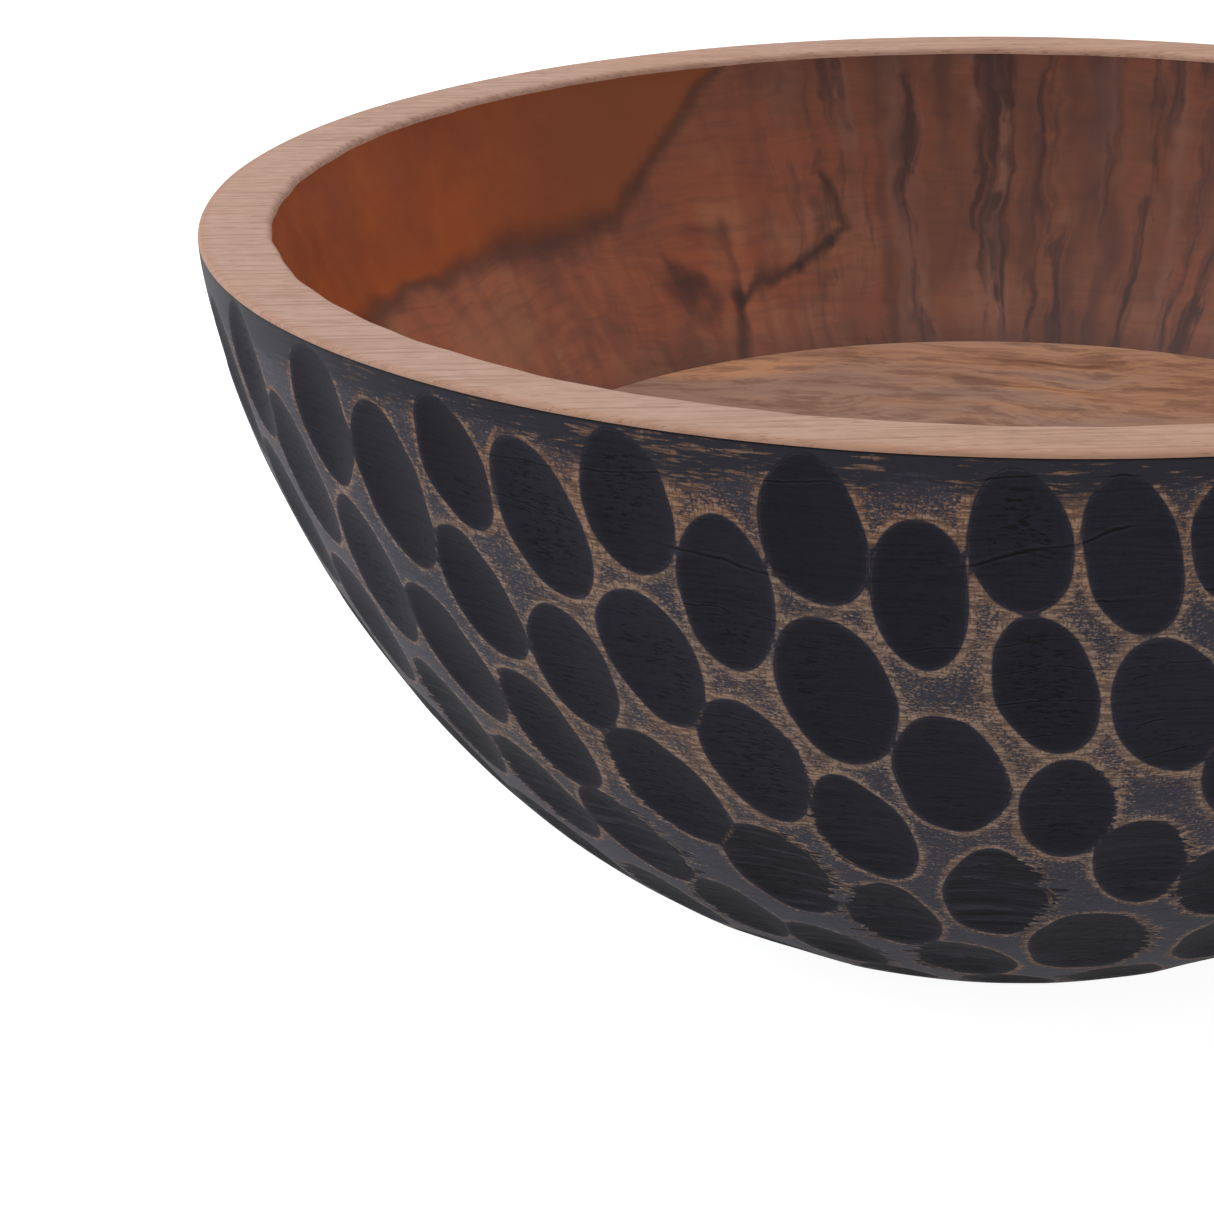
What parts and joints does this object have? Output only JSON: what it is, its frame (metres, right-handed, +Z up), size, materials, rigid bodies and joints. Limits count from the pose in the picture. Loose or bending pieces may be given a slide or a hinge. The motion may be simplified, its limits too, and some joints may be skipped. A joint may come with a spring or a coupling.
{
  "type": "carved wooden bowl",
  "caption": "Round wooden bowl with a flat inside floor, a flat rim and a dark outside covered with shallow oval gouge scoops.",
  "frame": {"origin": "centre of the flat foot, on the surface that the bowl stands on", "axes": "+Z up along the axis of the bowl, towards the rim"},
  "size_m": [0.3, 0.3, 0.13],
  "materials": {
    "wall_wood": "satin hardwood, bare sanded rim, matt black painted outside",
    "base_wood": "satin hardwood floor, matt black painted outside"
  },
  "bodies": {
    "root": {"upper_ring": "wall_wood", "base_block": "base_wood"}
  },
  "joints": []
}
